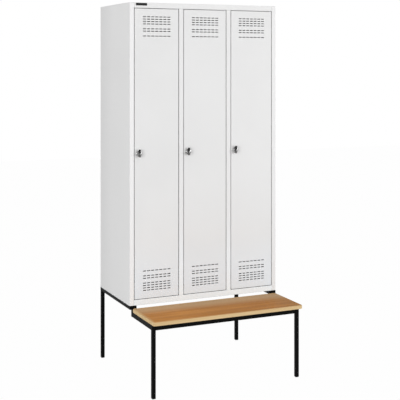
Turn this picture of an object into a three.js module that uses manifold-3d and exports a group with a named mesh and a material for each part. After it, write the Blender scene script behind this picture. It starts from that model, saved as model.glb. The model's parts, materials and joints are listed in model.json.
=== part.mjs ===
// A cloakroom locker unit: three tall steel compartments on a base of black
// square tube, with a beech bench board in front that rests on the same base.
// Millimetres, +Z up, X to the right, Y to the back. The origin is on the
// floor, in the middle of the whole footprint, and the doors face -Y.

import * as THREE from 'three';
import { mergeVertices } from 'three/addons/utils/BufferGeometryUtils.js';
import Module from 'manifold-3d';

const wasm = await Module();
wasm.setup();

// Driving dimensions of the whole unit
const BODY_WIDTH = 900;
const BODY_DEPTH = 500;
const BODY_HEIGHT = 1650;
const BASE_HEIGHT = 415;
const COMPARTMENTS = 3;

// Clearance between touching pieces, and how far a cutter runs past a face
const SEAM = 0.3;
const OVERRUN = 2;

// Sheet steel and its folds
const SHEET = 1;
const BEND_RADIUS = 1.5;
const BEND_STEPS = 2;
const RETURN_DEPTH = 18;
const REAR_FLANGE = 15;

// Front frame of the body
const EDGE_WIDTH = 25;
const POST_WIDTH = 27;
const HEADER_HEIGHT = 30;
const SILL_HEIGHT = 31;
const TAB_LENGTH = 40;
const TAB_HEIGHT_SHARES = [0.06, 0.35, 0.65, 0.94];

// Doors
const DOOR_GAP = 3;
const DOOR_LIP = 10;
const STIFFENER_CROWN = 34;
const STIFFENER_FLANGE = 14;
const STIFFENER_DEPTH = 14;
const STIFFENER_MARGIN = 210;

// Ventilation slots: one field at the top of the door, mirrored at the bottom
const SLOT_WIDTH = 18;
const SLOT_HEIGHT = 4.6;
const SLOT_PITCH_X = 24;
const SLOT_PITCH_Z = 13.2;
const SLOT_COLUMNS = 7;
const SLOT_ROWS = [0, 1, 2, 3, 5, 6, 8];
const FIRST_SLOT_DROP = 44;

// Pivots at the right edge of each door: a fixed stud in the sill, which
// carries the door, and a headed pin that drops in from the header
const PIVOT_INSET = 8;
const PIVOT_DEPTH = 6;
const PIN_RADIUS = 2.5;
const PIN_REACH = 5;
const PIN_HEAD_RADIUS = 4.5;
const PIN_HEAD_HEIGHT = 2;

// Lock: housing, knob and cam, turning about an axis square to the door
const LOCK_INSET = 26;
const LOCK_HEIGHT = 826;
const HOUSING_RADIUS = 17;
const HOUSING_THICKNESS = 4;
const HOUSING_RIM = 1.2;
const BARREL_RADIUS = 9;
const BARREL_LENGTH = 14;
const NUT_RADIUS = 13;
const NUT_THICKNESS = 4;
const SPINDLE_RADIUS = 5;
const SPINDLE_SQUARE = 6.4;
const TURN_GAP = 0.5;
const KNOB_DISC_RADIUS = 9.5;
const KNOB_DISC_THICKNESS = 2.5;
const GRIP_TOP = 23;
const GRIP_BOTTOM = 20;
const GRIP_WIDTH = 9;
const GRIP_DEPTH = 11;
const GRIP_CORNER = 2.5;
const CAP_RADIUS = 4;
const CAP_HEIGHT = 1.2;
const EYE_RADIUS = 3.8;
const EYE_OFFSET = 16.5;
const EYE_WALL = 2;
const LUG_THICKNESS = 3;
const CAM_THICKNESS = 2;
const CAM_GAP = 1.5;
const CAM_REACH = 41;
const CAM_WIDTH = 16;

// Inside a compartment
const SHELF_DROP = 320;
const SHELF_SETBACK = 26;
const SHELF_LIP = 20;
const SHELF_HEM = 8;
const RAIL_DROP = 55;
const RAIL_RADIUS = 8;
const RAIL_FLANGE_RADIUS = 16;
const RAIL_FLANGE_THICKNESS = 2;
const HOOK_WIDTH = 10;
const HOOK_WALL = 3;
const HOOK_PLAY = 0.7;
const HOOK_STEM = 18;
const HOOK_BOWL_RADIUS = 11;
const HOOK_ROD = 5;

// Blank plate on the header
const PLATE_WIDTH = 64;
const PLATE_HEIGHT = 14;
const PLATE_THICKNESS = 1.2;
const PLATE_INSET_X = 36;
const PLATE_DROP = 2.5;

// Base frame of square and flat tube
const TUBE = 20;
const TUBE_WALL = 1.5;
const TUBE_CORNER = 2;
const UPPER_RAIL_WIDTH = 40;
const BENCH_RAIL_HEIGHT = 30;
const BENCH_INSET = 15;
const BENCH_LEG_REACH = 295;
const REAR_RAIL_SETBACK = 10;
const END_PLATE = 2;
const FOOT_THICKNESS = 4;
const FOOT_TAPER = 2;
const PLUG_SHANK = 12;

// Bench board
const SEAT_THICKNESS = 20;
const SEAT_DROP = 11;
const SEAT_REACH = 328;
const SEAT_REAR_GAP = 14;
const SEAT_SIDE_INSET = 10;
const SEAT_CORNER = 12;
const SEAT_ROUNDING = 2.5;

// Fasteners
const SCREW_RADIUS = 2.5;
const SCREW_HEAD_RADIUS = 5;
const SCREW_HEAD_HEIGHT = 3;
const SCREW_BITE = 12;
const SCREW_INSET = 65;
const BOLT_RADIUS = 4;
const HEX_RADIUS = 7.5;
const BOLT_HEAD_HEIGHT = 5.3;
const NUT_HEIGHT = 6.5;
const BOLT_INSET = 60;

// Facets
const CORNER_STEPS = 2;
const PIN_SEGMENTS = 8;
const ROUND_SEGMENTS = 12;
const HOUSING_SEGMENTS = 18;
const HEX_SEGMENTS = 6;
const SQUARE_SEGMENTS = 4;

// Sizes that follow from the driving dimensions
const totalDepth = BODY_DEPTH + SEAT_REACH;
const bodyFront = SEAT_REACH - totalDepth / 2;
const openingWidth = (BODY_WIDTH - 2 * EDGE_WIDTH - (COMPARTMENTS - 1) * POST_WIDTH) / COMPARTMENTS;
const openingHeight = BODY_HEIGHT - HEADER_HEIGHT - SILL_HEIGHT;
const doorWidth = openingWidth - 2 * DOOR_GAP;
const doorHeight = openingHeight - 2 * DOOR_GAP;
const railTop = BASE_HEIGHT - SEAM;
const upperRailBottom = railTop - TUBE;
const seatTop = BASE_HEIGHT - SEAT_DROP;
const benchRailTop = seatTop - SEAT_THICKNESS - SEAM;
const benchRailBottom = benchRailTop - BENCH_RAIL_HEIGHT;
const backSheetY = BODY_DEPTH - SHEET - SEAM - SHEET / 2;
const backFaceY = backSheetY - SHEET / 2 - SEAM;
const rearFlangeY = BODY_DEPTH - SHEET / 2;
const shelfZ = BODY_HEIGHT - SHELF_DROP;
const railY = BODY_DEPTH / 2;
const railZ = shelfZ - RAIL_DROP;
const lockZ = LOCK_HEIGHT - SILL_HEIGHT - DOOR_GAP;
const camPlane = RETURN_DEPTH + CAM_GAP;
const knobFace = -HOUSING_THICKNESS - SEAM - KNOB_DISC_THICKNESS;
const eyeY = knobFace - GRIP_DEPTH / 2;
const footTop = FOOT_THICKNESS + SEAM;
const legX = BODY_WIDTH / 2 - TUBE;
const benchLegX = BODY_WIDTH / 2 - BENCH_INSET - TUBE;
const boltX = BODY_WIDTH / 2 - UPPER_RAIL_WIDTH / 2;
const screwX = benchLegX - SCREW_INSET;
const benchFrontY = -BENCH_LEG_REACH + TUBE / 2;
const benchRearY = -SEAT_REAR_GAP - REAR_RAIL_SETBACK - TUBE / 2;

// Finishes
const finishes = {
  sideSheet: { color: 0xdcdddf, roughness: 0.45, metalness: 0 },
  frontSheet: { color: 0xeeeff0, roughness: 0.4, metalness: 0 },
  innerSheet: { color: 0xd2d4d6, roughness: 0.5, metalness: 0 },
  blackSteel: { color: 0x16171a, roughness: 0.45, metalness: 0 },
  blackPlastic: { color: 0x101113, roughness: 0.6, metalness: 0 },
  chrome: { color: 0xc9cbce, roughness: 0.2, metalness: 1 },
  zincSteel: { color: 0xa9abad, roughness: 0.35, metalness: 1 },
  beech: { color: 0xb87a45, roughness: 0.35, metalness: 0 },
};

// Turns a closed three.js geometry into a solid that can be joined and cut
function toSolid(geometry) {
  const bare = geometry.clone();
  bare.deleteAttribute('normal');
  bare.deleteAttribute('uv');
  const merged = mergeVertices(bare);
  const corners = merged.index.array;
  const triangles = [];
  for (let i = 0; i < corners.length; i += 3) {
    const [a, b, c] = corners.slice(i, i + 3);
    if (a !== b && b !== c && c !== a) triangles.push(a, b, c);
  }
  return new wasm.Manifold(new wasm.Mesh({
    numProp: 3,
    vertProperties: new Float32Array(merged.attributes.position.array),
    triVerts: new Uint32Array(triangles),
  }));
}

// Turns a finished solid back into a flat-shaded three.js geometry
function toGeometry(solid) {
  const mesh = solid.getMesh();
  const geometry = new THREE.BufferGeometry();
  geometry.setAttribute('position', new THREE.BufferAttribute(mesh.vertProperties, 3));
  geometry.setIndex(new THREE.BufferAttribute(mesh.triVerts, 1));
  geometry.computeVertexNormals();
  return geometry;
}

function join(...solids) {
  return solids.reduce((whole, next) => whole.add(next));
}

function cut(solid, ...cutters) {
  return cutters.reduce((rest, cutter) => rest.subtract(cutter), solid);
}

// A box between two values on each axis
function block([x0, x1], [y0, y1], [z0, z1]) {
  const geometry = new THREE.BoxGeometry(x1 - x0, y1 - y0, z1 - z0);
  geometry.translate((x0 + x1) / 2, (y0 + y1) / 2, (z0 + z1) / 2);
  return toSolid(geometry);
}

// Extrudes one or more outlines along Z, X or Y. An outline for X holds
// (y, z) pairs, and one for Y holds (z, x) pairs, so that each mapping is a turn.
function extrude(shapes, length, options = {}) {
  return new THREE.ExtrudeGeometry(shapes, { depth: length, bevelEnabled: false, ...options });
}

function alongZ(shapes, z0, z1) {
  return toSolid(extrude(shapes, z1 - z0).translate(0, 0, z0));
}

function alongX(shapes, x0, x1) {
  const turn = new THREE.Matrix4().makeBasis(
    new THREE.Vector3(0, 1, 0), new THREE.Vector3(0, 0, 1), new THREE.Vector3(1, 0, 0));
  return toSolid(extrude(shapes, x1 - x0).applyMatrix4(turn).translate(x0, 0, 0));
}

function alongY(shapes, y0, y1) {
  const turn = new THREE.Matrix4().makeBasis(
    new THREE.Vector3(0, 0, 1), new THREE.Vector3(1, 0, 0), new THREE.Vector3(0, 1, 0));
  return toSolid(extrude(shapes, y1 - y0).applyMatrix4(turn).translate(0, y0, 0));
}

// A turned piece: the profile holds (radius, height) pairs along Z
function turned(profile, segments) {
  const points = profile.map(([radius, height]) => new THREE.Vector2(radius, height));
  return toSolid(new THREE.LatheGeometry(points, segments).rotateX(Math.PI / 2));
}

// A plain round rod between two heights
function rod(radius, z0, z1, segments) {
  return turned([[0, z0], [radius, z0], [radius, z1], [0, z1]], segments);
}

// Lays a piece made along Z down along Y, its top towards the back, or along X
function layBack(solid) {
  return solid.rotate([-90, 0, 0]);
}

function layRight(solid) {
  return solid.rotate([0, 90, 0]);
}

// The closed outline of a folded sheet whose middle line runs through the
// given corners. Each inner corner becomes a bend of BEND_RADIUS.
function foldedSheet(corners) {
  const line = corners.map(([x, y]) => new THREE.Vector2(x, y));
  const stations = [];
  line.forEach((corner, i) => {
    const before = i > 0 ? corner.clone().sub(line[i - 1]).normalize() : null;
    const after = i < line.length - 1 ? line[i + 1].clone().sub(corner).normalize() : null;
    const normal = (way) => new THREE.Vector2(-way.y, way.x);
    if (!before || !after) {
      stations.push([corner, normal(before ?? after)]);
      return;
    }
    const turn = Math.atan2(before.cross(after), before.dot(after));
    const trim = BEND_RADIUS * Math.tan(Math.abs(turn) / 2);
    const start = corner.clone().addScaledVector(before, -trim);
    const centre = start.clone().addScaledVector(normal(before), Math.sign(turn) * BEND_RADIUS);
    for (let step = 0; step <= BEND_STEPS; step += 1) {
      const share = step / BEND_STEPS;
      const out = normal(before).rotateAround(new THREE.Vector2(), turn * share);
      stations.push([centre.clone().addScaledVector(out, -Math.sign(turn) * BEND_RADIUS), out]);
    }
  });
  const face = (side) => stations.map(([point, out]) => point.clone().addScaledVector(out, side * SHEET / 2));
  return new THREE.Shape([...face(1), ...face(-1).reverse()]);
}

// A rectangle with rounded corners, given by its lowest and highest corner
function roundedRectangle(x0, y0, x1, y1, radius) {
  const shape = new THREE.Shape();
  shape.absarc(x1 - radius, y0 + radius, radius, -Math.PI / 2, 0);
  shape.absarc(x1 - radius, y1 - radius, radius, 0, Math.PI / 2);
  shape.absarc(x0 + radius, y1 - radius, radius, Math.PI / 2, Math.PI);
  shape.absarc(x0 + radius, y0 + radius, radius, Math.PI, 3 * Math.PI / 2);
  return new THREE.Shape(shape.getPoints(CORNER_STEPS));
}

function rectangle(x0, y0, x1, y1) {
  return new THREE.Shape([[x0, y0], [x1, y0], [x1, y1], [x0, y1]].map(([x, y]) => new THREE.Vector2(x, y)));
}

function circle(x, y, radius, segments) {
  const points = [];
  for (let i = 0; i < segments; i += 1) {
    const angle = 2 * Math.PI * i / segments;
    points.push(new THREE.Vector2(x + radius * Math.cos(angle), y + radius * Math.sin(angle)));
  }
  return new THREE.Shape(points);
}

// The section of a rectangular tube, between two values on each axis
function tubeSection([u0, u1], [v0, v1]) {
  const section = roundedRectangle(u0, v0, u1, v1, TUBE_CORNER);
  section.holes = [rectangle(u0 + TUBE_WALL, v0 + TUBE_WALL, u1 - TUBE_WALL, v1 - TUBE_WALL)];
  return section;
}

// Where things stand from left to right: x of a post's middle, of the partition
// behind it, of a door's left edge, and of the two walls of a compartment
function postX(index) {
  return -BODY_WIDTH / 2 + EDGE_WIDTH + (index + 1) * openingWidth + index * POST_WIDTH + POST_WIDTH / 2;
}

function partitionX(index) {
  return postX(index) - POST_WIDTH / 2 + SHEET + SEAM + SHEET / 2;
}

function doorX(index) {
  return -BODY_WIDTH / 2 + EDGE_WIDTH + index * (openingWidth + POST_WIDTH) + DOOR_GAP;
}

function wallX(index) {
  const left = index === 0 ? -BODY_WIDTH / 2 + SHEET : partitionX(index - 1) + SHEET / 2;
  const right = index === COMPARTMENTS - 1 ? BODY_WIDTH / 2 - SHEET : partitionX(index) - SHEET / 2;
  return [left + SEAM, right - SEAM];
}

// Where the doors pivot, and where the bolts hold the body on the base
function pivotPlaces() {
  const places = [];
  for (let i = 0; i < COMPARTMENTS; i += 1) places.push([doorX(i) + doorWidth - PIVOT_INSET, PIVOT_DEPTH]);
  return places;
}

function boltPlaces() {
  return [-boltX, boltX].flatMap((x) => [[x, BOLT_INSET], [x, BODY_DEPTH - BOLT_INSET]]);
}

// Body sheets, in a frame with y = 0 at the front face and z = 0 at its foot

// Side panel: one sheet with the front fold that frames the doors and a rear
// flange behind the back panel, which stops short of the flanges of roof and
// floor. side is -1 on the left and 1 on the right.
function sidePanel(side) {
  const skin = BODY_WIDTH / 2 - SHEET / 2;
  const frameFold = BODY_WIDTH / 2 - EDGE_WIDTH + SHEET / 2;
  const outline = foldedSheet([
    [side * frameFold, RETURN_DEPTH],
    [side * frameFold, SHEET / 2],
    [side * skin, SHEET / 2],
    [side * skin, rearFlangeY],
    [side * (skin - REAR_FLANGE), rearFlangeY],
  ]);
  const sheet = alongZ(outline, SHEET + SEAM, BODY_HEIGHT - SHEET - SEAM);
  const acrossX = [-BODY_WIDTH, BODY_WIDTH];
  const rearY = [BODY_DEPTH - SHEET - SEAM, BODY_DEPTH + OVERRUN];
  return cut(sheet,
    block(acrossX, rearY, [0, REAR_FLANGE + SEAM]),
    block(acrossX, rearY, [BODY_HEIGHT - REAR_FLANGE - SEAM, BODY_HEIGHT]));
}

// Roof or floor: one sheet whose front edge is folded into the header or sill
// strip. side is 1 for the roof and -1 for the floor, and stripHeight is the
// strip's height.
function endPanel(side, stripHeight) {
  const outer = side > 0 ? BODY_HEIGHT : 0;
  const sheetZ = outer - side * SHEET / 2;
  const lipZ = outer - side * (stripHeight - SHEET / 2);
  const outline = foldedSheet([
    [RETURN_DEPTH, lipZ],
    [SHEET / 2, lipZ],
    [SHEET / 2, sheetZ],
    [rearFlangeY, sheetZ],
    [rearFlangeY, outer - side * REAR_FLANGE],
  ]);
  const sheet = alongX(outline, -BODY_WIDTH / 2, BODY_WIDTH / 2);
  const stripEnd = BODY_WIDTH / 2 - EDGE_WIDTH - SEAM;
  const inner = outer - side * SHEET;
  const far = outer - side * (stripHeight + OVERRUN);
  const notchZ = [Math.min(inner, far), Math.max(inner, far)];
  const notch = (x0, x1) => block([x0, x1], [-OVERRUN, RETURN_DEPTH + OVERRUN], notchZ);
  return cut(sheet,
    notch(stripEnd, BODY_WIDTH / 2 + OVERRUN),
    notch(-BODY_WIDTH / 2 - OVERRUN, -stripEnd));
}

// Roof panel, with a hole in the header's lip for the pin of each door
function roofPanel() {
  const lip = BODY_HEIGHT - HEADER_HEIGHT;
  const holes = pivotPlaces().map(([x, y]) => circle(x, y, PIN_RADIUS + SEAM, PIN_SEGMENTS));
  return cut(endPanel(1, HEADER_HEIGHT), alongZ(holes, lip - OVERRUN, lip + SHEET + OVERRUN));
}

// Floor panel, with the stud that carries each door riveted into the sill's
// lip and a press nut over each bolt
function floorPanel() {
  const stud = turned([
    [0, SILL_HEIGHT - SHEET - PIN_HEAD_HEIGHT],
    [PIN_HEAD_RADIUS, SILL_HEIGHT - SHEET - PIN_HEAD_HEIGHT],
    [PIN_HEAD_RADIUS, SILL_HEIGHT + DOOR_GAP - SEAM],
    [PIN_RADIUS, SILL_HEIGHT + DOOR_GAP - SEAM],
    [PIN_RADIUS, SILL_HEIGHT + DOOR_GAP + SHEET + PIN_REACH],
    [0, SILL_HEIGHT + DOOR_GAP + SHEET + PIN_REACH],
  ], PIN_SEGMENTS);
  const studs = pivotPlaces().map(([x, y]) => stud.translate([x, y, 0]));
  const nuts = boltPlaces().map(([x, y]) => circle(x, y, HEX_RADIUS, HEX_SEGMENTS));
  const holes = boltPlaces().map(([x, y]) => circle(x, y, BOLT_RADIUS + SEAM, PIN_SEGMENTS));
  return cut(
    join(endPanel(-1, SILL_HEIGHT), alongZ(nuts, SHEET / 2, SHEET + NUT_HEIGHT), ...studs),
    alongZ(holes, -OVERRUN, SHEET + NUT_HEIGHT + OVERRUN));
}

// Height of the middle of each tab that joins a partition to the back panel
function tabHeights() {
  return TAB_HEIGHT_SHARES.map((share) => share * BODY_HEIGHT);
}

// Back panel: it stands in front of the rear flanges of the other sheets, and
// has a slot for each tab of the partitions
function backPanel() {
  const half = BODY_WIDTH / 2 - SHEET / 2 - BEND_RADIUS;
  const faceY = [backSheetY - SHEET / 2, backSheetY + SHEET / 2];
  const sheet = block([-half, half], faceY, [SHEET + SEAM, BODY_HEIGHT - SHEET - SEAM]);
  const slots = [];
  for (let i = 0; i < COMPARTMENTS - 1; i += 1) {
    const x = partitionX(i);
    const slotX = [x - SHEET / 2 - SEAM, x + SHEET / 2 + SEAM];
    for (const z of tabHeights()) {
      const slotZ = [z - TAB_LENGTH / 2 - SEAM, z + TAB_LENGTH / 2 + SEAM];
      slots.push(block(slotX, [backFaceY, BODY_DEPTH], slotZ));
    }
  }
  return cut(sheet, ...slots);
}

// Partition behind a post: a flat sheet whose front edge lies against the
// post's left fold and whose rear edge has tabs in the slots of the back panel.
// Both front corners are notched round the lips of header and sill.
function partition(index) {
  const x = partitionX(index);
  const faceX = [x - SHEET / 2, x + SHEET / 2];
  const frontY = SHEET + SEAM + BEND_RADIUS;
  const sheet = block(faceX, [frontY, backFaceY], [SHEET + SEAM, BODY_HEIGHT - SHEET - SEAM]);
  const tabY = [backFaceY - SHEET, backSheetY + SHEET / 2];
  const tabs = tabHeights().map((z) => block(faceX, tabY, [z - TAB_LENGTH / 2, z + TAB_LENGTH / 2]));
  const acrossX = [x - POST_WIDTH, x + POST_WIDTH];
  const notchY = [-OVERRUN, RETURN_DEPTH + SEAM];
  return cut(join(sheet, ...tabs),
    block(acrossX, notchY, [0, SILL_HEIGHT + SEAM]),
    block(acrossX, notchY, [BODY_HEIGHT - HEADER_HEIGHT - SEAM, BODY_HEIGHT]));
}

// Middle post: a U-shaped fold that stands between the sill and the header
function middlePost(index) {
  const x = postX(index);
  const wall = POST_WIDTH / 2 - SHEET / 2;
  const outline = foldedSheet([
    [x - wall, RETURN_DEPTH],
    [x - wall, SHEET / 2],
    [x + wall, SHEET / 2],
    [x + wall, RETURN_DEPTH],
  ]);
  return alongZ(outline, SILL_HEIGHT + SEAM, BODY_HEIGHT - HEADER_HEIGHT - SEAM);
}

function blankPlate() {
  const left = -BODY_WIDTH / 2 + PLATE_INSET_X;
  const top = BODY_HEIGHT - PLATE_DROP;
  return block(
    [left, left + PLATE_WIDTH],
    [-SEAM - PLATE_THICKNESS, -SEAM],
    [top - PLATE_HEIGHT, top]);
}

// Inside a compartment

// Hat shelf: a sheet with a hemmed front lip and a rear lip on the back panel
function hatShelf(index) {
  const [left, right] = wallX(index);
  const back = backFaceY - SHEET / 2;
  const outline = foldedSheet([
    [SHELF_SETBACK + SHELF_HEM, shelfZ - SHELF_LIP],
    [SHELF_SETBACK, shelfZ - SHELF_LIP],
    [SHELF_SETBACK, shelfZ],
    [back, shelfZ],
    [back, shelfZ - REAR_FLANGE],
  ]);
  return alongX(outline, left, right);
}

// Coat rail: a round bar from wall to wall with a round flange at each end
function coatRail(index) {
  const [left, right] = wallX(index);
  const bar = turned([
    [0, left],
    [RAIL_FLANGE_RADIUS, left],
    [RAIL_FLANGE_RADIUS, left + RAIL_FLANGE_THICKNESS],
    [RAIL_RADIUS, left + RAIL_FLANGE_THICKNESS],
    [RAIL_RADIUS, right - RAIL_FLANGE_THICKNESS],
    [RAIL_FLANGE_RADIUS, right - RAIL_FLANGE_THICKNESS],
    [RAIL_FLANGE_RADIUS, right],
    [0, right],
  ], ROUND_SEGMENTS);
  return layRight(bar).translate([0, railY, railZ]);
}

// Sliding double hook, cut from one plate: an eye that hangs on the rail, a
// stem below it and a bowl in front and behind. Its middle plane is x = 0 and
// the rail's axis is the origin.
function coatHook() {
  const bore = RAIL_RADIUS + SEAM + HOOK_PLAY;
  const eyeZ = -HOOK_PLAY;
  const bowlZ = eyeZ - bore - HOOK_STEM;
  const layer = (shape) => alongX(shape, -HOOK_WIDTH / 2, HOOK_WIDTH / 2);
  const eye = circle(0, eyeZ, bore + HOOK_WALL, ROUND_SEGMENTS);
  eye.holes = [circle(0, eyeZ, bore, ROUND_SEGMENTS)];
  const stem = rectangle(-HOOK_ROD / 2, bowlZ, HOOK_ROD / 2, eyeZ - bore - HOOK_WALL / 2);
  const bowls = [-1, 1].map((side) => {
    const bowl = new THREE.Shape();
    bowl.absarc(side * HOOK_BOWL_RADIUS, bowlZ, HOOK_BOWL_RADIUS + HOOK_ROD / 2, 0, -Math.PI, true);
    bowl.absarc(side * HOOK_BOWL_RADIUS, bowlZ, HOOK_BOWL_RADIUS - HOOK_ROD / 2, -Math.PI, 0, false);
    return layer(new THREE.Shape(bowl.getPoints(ROUND_SEGMENTS / 2)));
  });
  return join(layer(eye), layer(stem), ...bowls);
}

// Doors, in a frame with x = 0 at the left edge, y = 0 at the front face and
// z = 0 at the foot of the door

function slotField() {
  const width = (SLOT_COLUMNS - 1) * SLOT_PITCH_X;
  const halfWidth = SLOT_WIDTH / 2;
  const halfHeight = SLOT_HEIGHT / 2;
  const slots = [];
  for (let column = 0; column < SLOT_COLUMNS; column += 1) {
    const x = doorWidth / 2 - width / 2 + column * SLOT_PITCH_X;
    for (const row of SLOT_ROWS) {
      const drop = FIRST_SLOT_DROP + row * SLOT_PITCH_Z;
      for (const z of [drop, doorHeight - drop]) {
        slots.push(rectangle(z - halfHeight, x - halfWidth, z + halfHeight, x + halfWidth));
      }
    }
  }
  return alongY(slots, -OVERRUN, SHEET + OVERRUN);
}

// Door: a pan folded from one sheet, with lips on its upright sides, both slot
// fields, the pivot holes in its ends and the round hole of the lock. A
// stiffener of hat section is spot-welded up the middle of its inside.
function door() {
  const back = RETURN_DEPTH - SHEET / 2;
  const pan = foldedSheet([
    [DOOR_LIP, back],
    [SHEET / 2, back],
    [SHEET / 2, SHEET / 2],
    [doorWidth - SHEET / 2, SHEET / 2],
    [doorWidth - SHEET / 2, back],
    [doorWidth - DOOR_LIP, back],
  ]);
  const middle = doorWidth / 2;
  const crown = STIFFENER_CROWN / 2;
  const stiffener = foldedSheet([
    [middle - crown - STIFFENER_FLANGE, SHEET],
    [middle - crown, SHEET],
    [middle - crown, STIFFENER_DEPTH],
    [middle + crown, STIFFENER_DEPTH],
    [middle + crown, SHEET],
    [middle + crown + STIFFENER_FLANGE, SHEET],
  ]);
  const inside = [SHEET / 2, doorWidth - SHEET / 2];
  const depth = [SHEET / 2, RETURN_DEPTH];
  const pivot = circle(doorWidth - PIVOT_INSET, PIVOT_DEPTH, PIN_RADIUS + SEAM, PIN_SEGMENTS);
  const lockHole = rod(BARREL_RADIUS + SEAM, -OVERRUN, SHEET + OVERRUN, ROUND_SEGMENTS);
  return cut(
    join(
      alongZ(pan, 0, doorHeight),
      alongZ(stiffener, STIFFENER_MARGIN, doorHeight - STIFFENER_MARGIN),
      block(inside, depth, [0, SHEET]),
      block(inside, depth, [doorHeight - SHEET, doorHeight])),
    slotField(),
    alongZ(pivot, -OVERRUN, doorHeight + OVERRUN),
    layBack(lockHole).translate([LOCK_INSET, 0, lockZ]));
}

// Upper pivot pin: its head rests on the header's lip and its shank reaches
// down through the lip and the top of the door. z = 0 is the door's top.
function pivotPin() {
  const seat = DOOR_GAP + SHEET + SEAM;
  return turned([
    [0, -SHEET - PIN_REACH],
    [PIN_RADIUS, -SHEET - PIN_REACH],
    [PIN_RADIUS, seat],
    [PIN_HEAD_RADIUS, seat],
    [PIN_HEAD_RADIUS, seat + PIN_HEAD_HEIGHT],
    [0, seat + PIN_HEAD_HEIGHT],
  ], PIN_SEGMENTS);
}

// Lock parts share a frame with its origin where the turning axis meets the
// front face of the door. They are turned along Z, then laid back along Y.

// Housing: a domed rosette outside, a barrel through the door and a nut
// behind it, with a lug beside the place of the knob's eye when it is locked
function lockHousing() {
  const bore = SPINDLE_RADIUS + SEAM;
  const nutStart = SHEET + SEAM;
  const shell = turned([
    [bore, -HOUSING_THICKNESS],
    [HOUSING_RADIUS - HOUSING_THICKNESS, -HOUSING_THICKNESS],
    [HOUSING_RADIUS - HOUSING_RIM, -HOUSING_THICKNESS / 2],
    [HOUSING_RADIUS, -SEAM],
    [BARREL_RADIUS, -SEAM],
    [BARREL_RADIUS, BARREL_LENGTH],
    [bore, BARREL_LENGTH],
    [bore, -HOUSING_THICKNESS],
  ], HOUSING_SEGMENTS);
  const nutOutline = circle(0, 0, NUT_RADIUS, HEX_SEGMENTS);
  nutOutline.holes = [circle(0, 0, (bore + BARREL_RADIUS) / 2, HOUSING_SEGMENTS)];
  const nut = alongZ(nutOutline, nutStart, nutStart + NUT_THICKNESS);
  const lugX = [-EYE_OFFSET - EYE_RADIUS - EYE_WALL, -KNOB_DISC_RADIUS - TURN_GAP];
  const lugY = [eyeY - EYE_RADIUS - EYE_WALL, -HOUSING_THICKNESS / 2];
  const lugTop = -GRIP_WIDTH / 2 - TURN_GAP;
  const lug = block(lugX, lugY, [lugTop - LUG_THICKNESS, lugTop]);
  const eye = rod(EYE_RADIUS, lugTop - LUG_THICKNESS - OVERRUN, lugTop + OVERRUN, ROUND_SEGMENTS);
  return cut(join(layBack(join(shell, nut)), lug), eye.translate([-EYE_OFFSET, eyeY, 0]));
}

// Knob: a disc and a grip with the padlock eye at its top and a round cap over
// its middle, on a spindle whose inner end is square for the cam
function lockKnob() {
  const discBack = knobFace + KNOB_DISC_THICKNESS;
  const squareStart = BARREL_LENGTH + SEAM;
  const squareEnd = camPlane + CAM_THICKNESS + SEAM;
  const half = SPINDLE_SQUARE / 2;
  const spindle = join(
    rod(KNOB_DISC_RADIUS, knobFace, discBack, HOUSING_SEGMENTS),
    rod(SPINDLE_RADIUS, discBack - SEAM, squareStart, ROUND_SEGMENTS),
    rod(CAP_RADIUS, knobFace - GRIP_DEPTH - CAP_HEIGHT, knobFace - GRIP_DEPTH + SEAM, ROUND_SEGMENTS));
  const square = block([-half, half], [squareStart - SEAM, squareEnd], [-half, half]);
  const gripOutline = roundedRectangle(
    knobFace - GRIP_DEPTH, -GRIP_BOTTOM, knobFace, GRIP_TOP, GRIP_CORNER);
  const halfFoot = KNOB_DISC_RADIUS / 2;
  const foot = rectangle(knobFace - GRIP_DEPTH / 2, -halfFoot, knobFace + SEAM, halfFoot);
  const halfGrip = GRIP_WIDTH / 2;
  const grip = join(alongX(gripOutline, -halfGrip, halfGrip), alongX(foot, -halfGrip, halfGrip));
  const eye = rod(EYE_RADIUS, -GRIP_WIDTH, GRIP_WIDTH, ROUND_SEGMENTS);
  return cut(
    join(layBack(spindle), square, grip),
    layRight(eye).translate([0, eyeY, EYE_OFFSET]));
}

// Cam: a flat bar on the spindle's square end. It points up while the lock is
// open, and a quarter turn brings its tip behind the fold of the frame.
function lockCam() {
  const half = SPINDLE_SQUARE / 2 + SEAM;
  const outline = roundedRectangle(-CAM_WIDTH / 2, -CAM_WIDTH / 2, CAM_REACH, CAM_WIDTH / 2, CAM_WIDTH / 4);
  outline.holes = [rectangle(-half, -half, half, half)];
  return alongY(outline, camPlane, camPlane + CAM_THICKNESS);
}

// Base, in a frame with y = 0 at the front face of the body and z = 0 on the floor

// The two values on X of something on the left (side -1) or right (side 1)
function sideSpan(side, inner, width) {
  return side < 0 ? [-inner - width, -inner] : [inner, inner + width];
}

function rearLeg(side) {
  return alongZ(tubeSection(sideSpan(side, legX, TUBE), [BODY_DEPTH - TUBE, BODY_DEPTH]),
    footTop, upperRailBottom - SEAM);
}

function frontLeg(side) {
  return alongZ(tubeSection(sideSpan(side, benchLegX, TUBE), [-BENCH_LEG_REACH, -BENCH_LEG_REACH + TUBE]),
    footTop, benchRailTop);
}

// Upper rail: its ends are closed by welded plates
function upperRail(side) {
  const [x0, x1] = sideSpan(side, BODY_WIDTH / 2 - UPPER_RAIL_WIDTH, UPPER_RAIL_WIDTH);
  const outline = roundedRectangle(upperRailBottom, x0, railTop, x1, TUBE_CORNER);
  const hollow = block(
    [x0 + TUBE_WALL, x1 - TUBE_WALL],
    [END_PLATE, BODY_DEPTH - END_PLATE],
    [upperRailBottom + TUBE_WALL, railTop - TUBE_WALL]);
  const holes = boltPlaces().map(([x, y]) => circle(x, y, BOLT_RADIUS + SEAM, PIN_SEGMENTS));
  return cut(
    alongY(outline, 0, BODY_DEPTH),
    hollow,
    alongZ(holes, upperRailBottom - OVERRUN, railTop + OVERRUN));
}

function stepPost(side) {
  return alongZ(tubeSection(sideSpan(side, benchLegX, TUBE), [0, TUBE]),
    benchRailBottom, upperRailBottom - SEAM);
}

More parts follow.
